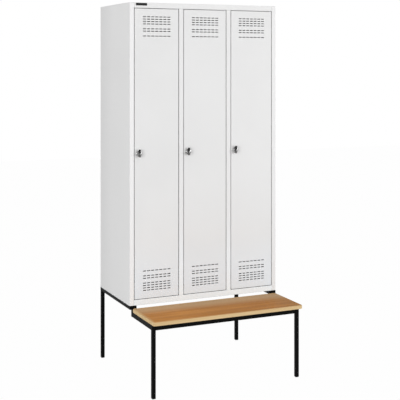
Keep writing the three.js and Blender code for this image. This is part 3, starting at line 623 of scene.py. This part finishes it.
# %% [markdown]
# ## Making a piece from arrays
#
# Each new piece is one or more closed shells. A shell is a grid of points, a
# function of two parameters, joined by four-sided faces. Its rows are rings, and
# where it closes in a point its last ring is a single place whose doubles are
# merged. The normals are then worked out afresh. Blender's own cylinders and
# cubes could be cut and joined instead, but a formula over whole arrays says
# what the shape is, and leaves clean faces.

# %% Grids
def grid_faces(rows, columns, wrap_rows):
    """Corner numbers of the four-sided faces of a grid. Each row closes in a ring,
    and with wrap_rows the last row is joined to the first."""
    row = np.arange(rows if wrap_rows else rows - 1)[:, None]
    column = np.arange(columns)[None, :]
    next_row = (row + 1) % rows
    next_column = (column + 1) % columns
    corners = [row * columns + column, row * columns + next_column]
    corners += [next_row * columns + next_column, next_row * columns + column]
    return np.stack(corners, axis=-1).reshape(-1, 4)


def shell(points, wrap_rows=False):
    """A grid of points (rows, columns, 3) in millimetres as (points, faces)."""
    rows, columns, _ = points.shape
    return points.reshape(-1, 3), grid_faces(rows, columns, wrap_rows)


print("a tube of 3 by 8 points has", len(shell(np.zeros((3, 8, 3)))[1]), "faces")

# %% Pieces
DOUBLE_DISTANCE = 0.002 * MM


def make_piece(name, shells, finish, body, replaced, sharp=SHARP_ANGLE):
    """Joins shells into one mesh that rides on a body and stands for CAD nodes."""
    starts = np.cumsum([0] + [len(points) for points, _ in shells[:-1]])
    points = np.concatenate([points for points, _ in shells]) * MM
    faces = np.concatenate([faces + start for (_, faces), start in zip(shells, starts)])
    mesh = bpy.data.meshes.new(name)
    mesh.from_pydata(points.tolist(), [], faces.tolist())
    work = bmesh.new()
    work.from_mesh(mesh)
    bmesh.ops.remove_doubles(work, verts=work.verts, dist=DOUBLE_DISTANCE)
    bmesh.ops.dissolve_degenerate(work, edges=work.edges, dist=DOUBLE_DISTANCE)
    bmesh.ops.recalc_face_normals(work, faces=work.faces)
    work.to_mesh(mesh)
    work.free()
    mesh.shade_smooth()
    mesh.set_sharp_from_angle(angle=sharp)
    mesh.materials.append(finish)
    piece = bpy.data.objects.new(name, mesh)
    bpy.context.scene.collection.objects.link(piece)
    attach(piece, body)
    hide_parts(*replaced)
    print(name, len(mesh.polygons), "faces")


print("pieces merge points nearer than", DOUBLE_DISTANCE / MM, "mm")

# %% [markdown]
# ## Shapes that return again and again
#
# Four shapes make all the new pieces: a slab with rounded corners and edges, a
# body turned on a lathe, a bar bent along a path, and a plate with a hole. Each
# is a closed shell, and each takes its sizes in millimetres.
#
# The first is the slab. A cube with a Bevel modifier has one radius for all its
# edges, and a board has two, a wide one at its corners seen from above and a
# small one along its edges. So rings of one outline are stacked, and each is
# drawn in as the rounded edge asks.

# %% Slab
SUPPORT_INSET = 0.6


def rounded_outline(half_x, half_y, corner, steps):
    """Rounded rectangle, anticlockwise: four quarter circles joined by straight sides."""
    quarter = np.linspace(0, np.pi / 2, steps + 1)
    angle = np.concatenate([quarter + k * np.pi / 2 for k in range(4)])
    sign_x = np.repeat([1, -1, -1, 1], steps + 1)
    sign_y = np.repeat([1, 1, -1, -1], steps + 1)
    x = sign_x * (half_x - corner) + corner * np.cos(angle)
    y = sign_y * (half_y - corner) + corner * np.sin(angle)
    return np.stack([x, y], axis=-1)


def slab(low, high, corner, rounding, corner_steps=10, edge_steps=6):
    """Slab between two corners. A ring at height z is the outline drawn in by
    the inset of a quarter circle: rounding times 1 minus the cosine of its angle.
    A support ring just inside each flat face keeps its shading flat."""
    low, high = np.array(low, float), np.array(high, float)
    half = (high - low) / 2
    rise = np.linspace(0, np.pi / 2, edge_steps + 1)
    drawn_in = rounding * (1 - np.cos(rise))
    sunk = rounding * (1 - np.sin(rise))
    inset = np.concatenate([drawn_in[::-1], drawn_in])
    height = np.concatenate([low[2] + sunk[::-1], high[2] - sunk])
    outline = rounded_outline(half[0], half[1], corner, corner_steps)
    shrink = np.clip(1 - inset[:, None, None] / half[None, None, :2], 0, 1)
    rings = outline[None] * shrink
    support = rings[[0, -1]] * (1 - SUPPORT_INSET / half[None, None, :2])
    rings = np.concatenate([rings[:1] * 0, support[:1], rings, support[1:], rings[-1:] * 0])
    height = np.concatenate([height[:1], height[:1], height, height[-1:], height[-1:]])
    centre = (low + high) / 2
    points = np.empty(rings.shape[:2] + (3,))
    points[..., :2] = rings + centre[:2]
    points[..., 2] = height[:, None]
    return shell(points)


print("a slab has", len(slab((0, 0, 0), (9, 9, 9), 2, 1)[1]), "faces")

# %% [markdown]
# ## Turned pieces
#
# Rosettes, discs, caps and rails are round about one axis, as they come off a
# lathe. The Screw modifier could turn a curve into such a body. A grid does it
# in a few lines: its rows follow the profile, its columns go round the axis.

# %% Lathe
def lathe(profile, origin, axis="Y", segments=48, closed=False):
    """Turns (radius, place) pairs about an axis: a circle of that radius at each place."""
    profile = np.array(profile, float)
    angle = np.linspace(0, 2 * np.pi, segments, endpoint=False)
    across = profile[:, :1] * np.cos(angle)
    up = profile[:, :1] * np.sin(angle)
    along = np.repeat(profile[:, 1:], segments, axis=1)
    order = {"X": (along, across, up), "Y": (up, along, across), "Z": (across, up, along)}[axis]
    return shell(np.stack(order, axis=-1) + np.array(origin), wrap_rows=closed)


def arc(centre, radius, start, stop, steps):
    """Points on a circle from one angle to another, in degrees."""
    angle = np.radians(np.linspace(start, stop, steps + 1))
    across = centre[0] + radius * np.cos(angle)
    up = centre[1] + radius * np.sin(angle)
    return np.stack([across, up], axis=-1)


print("a turned disc has", len(lathe([(0, 0), (1, 0), (1, 1), (0, 1)], (0, 0, 0))[1]), "faces")

# %% [markdown]
# ## Bent bars
#
# The bars of a hook are moulded with soft ends. A bevelled curve could be used,
# but its ends are flat or need a second object. Here a section follows a path,
# square to it at each step, and shrinks at both ends as a quarter ellipse does.

# %% Bar along a path
def bar(path, thickness, width, middle_x, rounding, steps=4, ends=4):
    """A bar with a rounded rectangular section that follows a path in the (y, z)
    plane. Towards each end the section shrinks as a quarter ellipse does."""
    path = np.array(path, float)
    step = np.gradient(path, axis=0)
    tangent = step / np.linalg.norm(step, axis=1, keepdims=True)
    normal = np.stack([-tangent[:, 1], tangent[:, 0]], axis=-1)
    turn = np.linspace(0, np.pi / 2, ends + 1)
    reach = rounding * (1 - np.cos(turn))
    cap = 1 - rounding * (1 - np.sin(turn)) / (thickness / 2)
    start = path[0] + tangent[0] * reach[:, None]
    stop = path[-1] - tangent[-1] * reach[::-1, None]
    spine = np.concatenate([start[:1], start, path[1:-1], stop, stop[-1:]])
    first, last = (normal[[end]].repeat(ends + 2, 0) for end in (0, -1))
    across = np.concatenate([first, normal[1:-1], last])
    size = np.concatenate([[0], cap, np.ones(len(path) - 2), cap[::-1], [0]])
    section = rounded_outline(width / 2, thickness / 2, rounding, steps)
    scaled = section[None] * size[:, None, None]
    points = np.empty((len(spine), len(section), 3))
    points[..., 0] = middle_x + scaled[..., 0]
    points[..., 1:] = spine[:, None] + across[:, None] * scaled[..., 1:]
    return shell(points)


print("a half circle of bar has", len(bar(arc((0, 0), 9, 0, 180, 8), 4, 4, 0, 1)[1]), "faces")

# %% [markdown]
# ## Plates with a hole
#
# An eye for a shackle or a rail is a plate with a round hole. A Boolean could
# cut the hole, at the price of long thin faces round it. A ring of points that
# goes round the outline, through the hole and back gives even faces, and takes
# the rounded rims along.

# %% Pierced plate
def pierced_plate(reach, hole, thickness, rounding, power=5.0, segments=64, steps=3):
    """Plate with a round hole at the origin, in its own (u, v, w) axes with w through
    it. Its outline is a superellipse whose half axis differs on each of the four
    sides: the distance at an angle is (|cos / a| ^ p + |sin / b| ^ p) ^ (-1 / p).
    The rims are rounded by quarter circles, half as wide at the hole."""
    left, right, down, up = reach
    angle = np.linspace(0, 2 * np.pi, segments, endpoint=False)
    cos, sin = np.cos(angle), np.sin(angle)
    a = np.where(cos > 0, right, left)
    b = np.where(sin > 0, up, down)
    outer = (np.abs(cos / a) ** power + np.abs(sin / b) ** power) ** (-1 / power)
    turn = np.linspace(0, np.pi / 2, steps + 1)
    inset = rounding * (1 - np.cos(turn))
    level = thickness / 2 - rounding * (1 - np.sin(turn))
    outside = outer[None] - inset[:, None]
    inside = np.broadcast_to(hole + 0.5 * inset[:, None], outside.shape)
    radii = np.concatenate([outside, inside[::-1], inside, outside[::-1]])
    levels = np.concatenate([level, level[::-1], -level, -level[::-1]])
    return np.stack([radii * cos, radii * sin, np.repeat(levels[:, None], segments, 1)], axis=-1)


print("a plate has", pierced_plate((2, 2, 2, 2), 1, 1, 0.2).shape[:2], "points")

# %% [markdown]
# ## The bench board
#
# The CAD board has corners of a few facets. Here the corners are true quarter
# circles of 12 mm, and the edges are rounded over by 3 mm as a router leaves
# them, which is what catches the light along the front. The CAD board could be
# bevelled, but its facets would stay, so a slab takes its place and its size.

# %% Bench board
BOARD_CORNER = 12.0
BOARD_ROUNDING = 3.0
BOARD_SHARP_ANGLE = np.radians(60)


def box_of(node):
    """The low and high corner of a CAD node's box, in millimetres."""
    return [np.array(corner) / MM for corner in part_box(node)]


low, high = box_of("seat_board")
make_piece(
    "bench_board",
    [slab(low, high, BOARD_CORNER, BOARD_ROUNDING)],
    beech,
    "locker_frame",
    ["seat_board"],
    sharp=BOARD_SHARP_ANGLE,
)

# %% [markdown]
# ## The locks
#
# A turning latch for a padlock: a domed rosette stands on the door, and a grip
# with an eye turns in it. When the grip lies flat, its eye meets the eye of a
# fixed lug, and the shackle goes through both. The rosette and the disc are
# turned on a lathe, and the grip and the lug are plates with a hole.
#
# The lock's place could be typed in. It is taken from the cam and the door of
# the CAD model, so that the new pieces turn about the true axis.

# %% Lock places from the CAD nodes
CAM_BELOW_AXIS = 8.0


def lock_origin(number):
    """Where the turning axis meets the door's front face, in millimetres."""
    low, high = box_of(f"lock_cam_{number}")
    door_front = box_of(f"door_{number}")[0][1]
    return np.array([(low[0] + high[0]) / 2, door_front, low[2] + CAM_BELOW_AXIS])


print("first lock at", lock_origin(1).round(1), "mm")

# %% [markdown]
# ## The fixed half of a lock
#
# The rosette is cast in one with its barrel, and its shoulder is domed so that
# nothing catches on it. A hexagonal nut holds it from behind, and the lug stands
# out beside the grip. The nut could be a cylinder with six sides, and it is: a
# lathe with six steps, so it needs no function of another kind.

# %% Rosette and barrel
LOCK_RADIUS = 17.0
BORE_RADIUS = 5.3
BORE_CHAMFER = 0.4
FLAT_RADIUS = 12.6
DOME_HEIGHT = 3.5
RIM_HEIGHT = 0.5
SEAT_HEIGHT = 0.3
BARREL_RADIUS = 9.0
BARREL_LENGTH = 14.0


def rosette(origin):
    """The housing's closed profile: bore, flat face, round shoulder, flange, barrel."""
    top = RIM_HEIGHT + DOME_HEIGHT
    quarter = arc((0, 0), 1.0, 90, 0, 12)
    shoulder = quarter * (LOCK_RADIUS - FLAT_RADIUS, -DOME_HEIGHT) + (FLAT_RADIUS, -RIM_HEIGHT)
    profile = [(BORE_RADIUS, BARREL_LENGTH), (BORE_RADIUS, BORE_CHAMFER - top)]
    profile += [(BORE_RADIUS + BORE_CHAMFER, -top), *shoulder, (LOCK_RADIUS, -SEAT_HEIGHT)]
    profile += [(BARREL_RADIUS, -SEAT_HEIGHT), (BARREL_RADIUS, BARREL_LENGTH)]
    return lathe(profile, origin, closed=True, segments=64)


print("rosette", 2 * LOCK_RADIUS, "mm wide")

# %% Nut and lug
NUT_BORE = 7.2
NUT_RADIUS = 13.0
NUT_FRONT = 1.3
NUT_BACK = 5.3
EYE_REACH = 16.5
EYE_FRONT = 12.3
EYE_RADIUS = 3.8
# From the middle of its hole to the left, to the right, forwards and back to the door.
LUG_SIDES = (5.8, 6.4, 5.8, 10.2)
LUG_THICKNESS = 3.0
LUG_ROUNDING = 0.8
LUG_DROP = 6.5


def back_nut(origin):
    """A hexagonal ring behind the door: a lathe with six sides."""
    profile = [(NUT_BORE, NUT_FRONT), (NUT_RADIUS, NUT_FRONT)]
    profile += [(NUT_RADIUS, NUT_BACK), (NUT_BORE, NUT_BACK)]
    return lathe(profile, origin, closed=True, segments=6)


def lug(origin):
    """The fixed eye: a plate that lies flat, its hole upright, below the eye's path."""
    plate = pierced_plate(LUG_SIDES, EYE_RADIUS, LUG_THICKNESS, LUG_ROUNDING, power=4.0)
    placed = plate + np.array([-EYE_REACH, -EYE_FRONT, -LUG_DROP])
    return shell(placed + origin, wrap_rows=True)


print("lug eye", 2 * EYE_RADIUS, "mm wide")

# %% [markdown]
# ## The turning half of a lock
#
# The grip is a tall wing that is slimmer towards the hand. It sits on a disc,
# with a polished cap in front and a square spindle behind that carries the cam.
# A box with a Bevel could stand for the wing, but its eye and its taper are what
# one recognises, so it is a plate with a hole whose width eases off.

# %% Grip
# From the middle of its eye forwards, backwards, down and up.
GRIP_SIDES = (5.5, 5.5, 36.3, 6.5)
GRIP_WIDTH = 9.0
GRIP_ROUNDING = 1.6
GRIP_TAPER = 0.16


def grip(origin):
    """The wing of the knob: a tall plate with the padlock eye near its top. Its
    width eases off towards the front, so that it is easy to hold."""
    plate = pierced_plate(GRIP_SIDES, EYE_RADIUS, GRIP_WIDTH, GRIP_ROUNDING, steps=5)
    depth, height, across = plate[..., 0], plate[..., 1], plate[..., 2]
    back, front = GRIP_SIDES[1], GRIP_SIDES[0]
    ease = 1 - GRIP_TAPER * np.clip((back - depth) / (front + back), 0, 1) ** 2
    placed = np.stack([across * ease, depth - EYE_FRONT, height + EYE_REACH], axis=-1)
    return shell(placed + origin, wrap_rows=True)


print("grip", GRIP_SIDES[2] + GRIP_SIDES[3], "mm tall")

# %% Disc and spindle
DISC_RADIUS = 9.5
DISC_FRONT = 6.8
DISC_BACK = 4.3
DISC_ROUNDING = 0.8
SPINDLE_RADIUS = 5.0
SPINDLE_END = 14.3
SQUARE_HALF = 3.2
SQUARE_END = 21.8
SQUARE_CORNER = 0.5
SQUARE_ROUNDING = 0.3


def knob_disc(origin):
    """The disc under the grip and the spindle, down to its square end."""
    centre = (DISC_RADIUS - DISC_ROUNDING, DISC_ROUNDING - DISC_FRONT)
    profile = [(0, -DISC_FRONT), *arc(centre, DISC_ROUNDING, 270, 360, 6)]
    profile += [(DISC_RADIUS, -DISC_BACK), (SPINDLE_RADIUS, -DISC_BACK)]
    profile += [(SPINDLE_RADIUS, SPINDLE_END), (0, SPINDLE_END)]
    return lathe(profile, origin)


def spindle_end(origin):
    """The square end that carries the cam, a little beyond it."""
    low = origin + np.array([-SQUARE_HALF, BARREL_LENGTH, -SQUARE_HALF])
    high = origin + np.array([SQUARE_HALF, SQUARE_END, SQUARE_HALF])
    return slab(low, high, SQUARE_CORNER, SQUARE_ROUNDING, corner_steps=3, edge_steps=2)


print("disc", 2 * DISC_RADIUS, "mm wide on a spindle of", 2 * SPINDLE_RADIUS, "mm")

# %% Cap
CAP_RADIUS = 4.0
CAP_FRONT = 19.0
CAP_BACK = 17.5
CAP_ROUNDING = 0.6
CAP_STEP = (1.0, 0.4)


def cap(origin):
    """The round cap over the middle of the grip: a flat dome with a rounded rim."""
    centre = (CAP_RADIUS - CAP_ROUNDING, CAP_ROUNDING - CAP_FRONT)
    step, skirt = CAP_STEP
    profile = [(0, -CAP_FRONT), *arc(centre, CAP_ROUNDING, 270, 360, 5)]
    profile += [(CAP_RADIUS, -CAP_BACK - skirt), (CAP_RADIUS - step, -CAP_BACK), (0, -CAP_BACK)]
    return lathe(profile, origin, segments=40)


print("cap", 2 * CAP_RADIUS, "mm wide")

# %% Three locks
COMPARTMENTS = (1, 2, 3)

for number in COMPARTMENTS:
    origin = lock_origin(number)
    turning = f"lock_turn_{number}"
    knob = [f"lock_knob_{number}"]
    make_piece(
        f"lock_rosette_{number}",
        [rosette(origin), back_nut(origin), lug(origin)],
        chrome,
        f"door_leaf_{number}",
        [f"lock_housing_{number}"],
    )
    make_piece(f"lock_grip_{number}", [grip(origin)], knob_black, turning, knob)
    parts = [knob_disc(origin), spindle_end(origin), cap(origin)]
    make_piece(f"lock_spindle_{number}", parts, bright_chrome, turning, knob)

# %% [markdown]
# ## Coat rails
#
# Behind each door a round rail runs from wall to wall under the hat shelf, and
# a moulded double hook slides along it. The rail could be a plain cylinder, but
# a flange with a rounded rim at each end holds the real one, so its profile is
# turned on the lathe.

# %% Coat rails
RAIL_RADIUS = 8.0
RAIL_FILLET = 0.5
FLANGE_RADIUS = 16.0
FLANGE_WIDTH = 2.0
FLANGE_ROUNDING = 1.0


def rail_end(place, way):
    """Half of the profile: from the axis at an end, round the flange, to the bar."""
    centre = (FLANGE_RADIUS - FLANGE_ROUNDING, FLANGE_ROUNDING)
    rim = arc(centre, FLANGE_ROUNDING, 270, 450, 8)
    neck = [(RAIL_RADIUS + RAIL_FILLET, FLANGE_WIDTH), (RAIL_RADIUS, FLANGE_WIDTH + RAIL_FILLET)]
    return np.array([(0, 0), *rim, *neck]) * (1, way) + (0, place)


def coat_rail(number):
    """A round bar with a flange, rounded at its rim, at each end."""
    low, high = box_of(f"coat_rail_{number}")
    middle = (low + high) / 2
    profile = [*rail_end(low[0], 1), *rail_end(high[0], -1)[::-1]]
    return lathe(profile, (0, middle[1], middle[2]), axis="X")


for number in COMPARTMENTS:
    make_piece(
        f"hanging_rail_{number}",
        [coat_rail(number)],
        zinc,
        "locker_frame",
        [f"coat_rail_{number}"],
    )

# %% [markdown]
# ## Double hooks
#
# The hook is a ring with two bars that share one stem and part at its foot. It
# could be sculpted as one skin. It is made of three closed shells that overlap
# in the stem, because the seam is hidden there and each shape stays a formula.

# %% Hook shapes
RAIL_PLAY = 0.7
HOOK_BORE = 9.0
HOOK_EYE_SIDES = (12.0,) * 4
HOOK_EYE_ROUNDING = 1.0
HOOK_WIDTH = 10.0
STEM_INSET = 1.2
BAR_THICKNESS = 5.0
BAR_ROUNDING = 1.2
BOWL_DROP = 27.7
BOWL_RADIUS = 11.0


def hook_bar(side, rail, middle_x):
    """A stem from inside the wall of the eye, and a half circle to one side below it."""
    stem = np.linspace((0, -HOOK_BORE - RAIL_PLAY - STEM_INSET), (0, -BOWL_DROP), 8)
    centre = (side * BOWL_RADIUS, -BOWL_DROP)
    bowl = arc(centre, BOWL_RADIUS, 90 + side * 90, 90 + side * 270, 24)
    path = np.concatenate([stem, bowl[1:]]) + (rail[1], rail[2])
    return bar(path, BAR_THICKNESS, HOOK_WIDTH, middle_x, BAR_ROUNDING)


def middle_of(node):
    """The middle of a CAD node's box, in millimetres."""
    low, high = box_of(node)
    return (low + high) / 2


def hook_shells(number):
    """The eye round the rail and the two bars."""
    middle_x = middle_of(f"coat_hook_{number}")[0]
    rail = middle_of(f"coat_rail_{number}")
    eye = pierced_plate(HOOK_EYE_SIDES, HOOK_BORE, HOOK_WIDTH, HOOK_EYE_ROUNDING, power=2.0)
    eye_points = np.stack([eye[..., 2], eye[..., 0], eye[..., 1]], axis=-1)
    ring = shell(eye_points + (middle_x, rail[1], rail[2] - RAIL_PLAY), wrap_rows=True)
    return [ring] + [hook_bar(side, rail, middle_x) for side in (-1, 1)]


print("first hook at", middle_of("coat_hook_1").round(1), "mm")

# %% Three hooks
for number in COMPARTMENTS:
    make_piece(
        f"double_hook_{number}",
        hook_shells(number),
        black_plastic,
        f"hook_slide_{number}",
        [f"coat_hook_{number}"],
    )

# %% [markdown]
# ## The studio
#
# The catalogue picture has a pure white ground. The floor is a pale matt plane
# that keeps a faint shadow under the legs: to the camera it is mostly a plain
# white light, and a part of it is real floor. Gloss sees the same white ground,
# so the paint and the chrome have something to mirror. More light on a white
# floor could whiten it too, but that would burn out the pale paint as well.

# %% Floor
FLOOR_HALF = 12.0
WHITE_SHARE = 0.985

floor_mesh = bpy.data.meshes.new("studio_floor")
corners = [(x * FLOOR_HALF, y * FLOOR_HALF, 0) for x, y in ((-1, -1), (1, -1), (1, 1), (-1, 1))]
floor_mesh.from_pydata(corners, [], [(0, 1, 2, 3)])
floor = bpy.data.objects.new("studio_floor", floor_mesh)
bpy.context.scene.collection.objects.link(floor)

ground = Finish("studio_ground", Base_Color=grey(0.6), Roughness=0.9, Specular_IOR_Level=0.1)
light = ground.node("ShaderNodeEmission", values={"Color": grey(1.0), "Strength": 1.0})
matt = Field(ground, ground.shader.outputs[0])
shares = {0: ground.plain_rays() * WHITE_SHARE, 1: matt, 2: light}
blend = ground.node("ShaderNodeMixShader", values=shares)
ground.put(ground.tree.nodes["Material Output"].inputs["Surface"], blend)
floor_mesh.materials.append(ground.material)
print("floor ready")

# %% [markdown]
# ## World and lamps
#
# A tent round the locker gives soft light from everywhere, and the world stands
# for it: it lights the locker at half strength and shows plain white. One large
# lamp stands far to the left and lights the side, and one far to the right
# makes the fronts a little brighter. One lamp near the camera could do for
# both, but the doors would mirror it, and neither of these stands there.

# %% World
WORLD_LIGHT = 0.5


class Sky(Finish):
    """The world's own network: a Background shader and the nodes that feed it."""

    def __init__(self, name):
        self.world = bpy.data.worlds.new(name)
        self.world.use_nodes = True
        self.tree = self.world.node_tree
        self.shader = self.tree.nodes["Background"]


sky = Sky("studio_world")
sky.put(sky.shader.inputs["Color"], grey(1.0))
sky.feed(Strength=WORLD_LIGHT + sky.plain_rays() * (1.0 - WORLD_LIGHT))
bpy.context.scene.world = sky.world
print("world with", len(sky.tree.nodes), "nodes")

# %% Lamps
LAMP_TARGET = np.array([0.0, 0.0, 1.1])
LAMP_SIZE = 3.0


def lamp(name, place, power):
    """A square lamp at a place that faces the middle of the locker."""
    data = bpy.data.lights.new(name, "AREA")
    data.size = LAMP_SIZE
    data.energy = power
    made = bpy.data.objects.new(name, data)
    made.location = place
    way = LAMP_TARGET - place
    tilt = np.arccos(-way[2] / np.linalg.norm(way))
    made.rotation_euler = (tilt, 0, np.arctan2(-way[0], way[1]))
    bpy.context.scene.collection.objects.link(made)


lamp("left_light", (-7.4, -5.0, 1.8), 330.0)
lamp("right_light", (7.6, -6.5, 1.8), 429.0)
bpy.context.scene.view_settings.view_transform = "Standard"
print(len(bpy.data.lights), "lamps")

# %% [markdown]
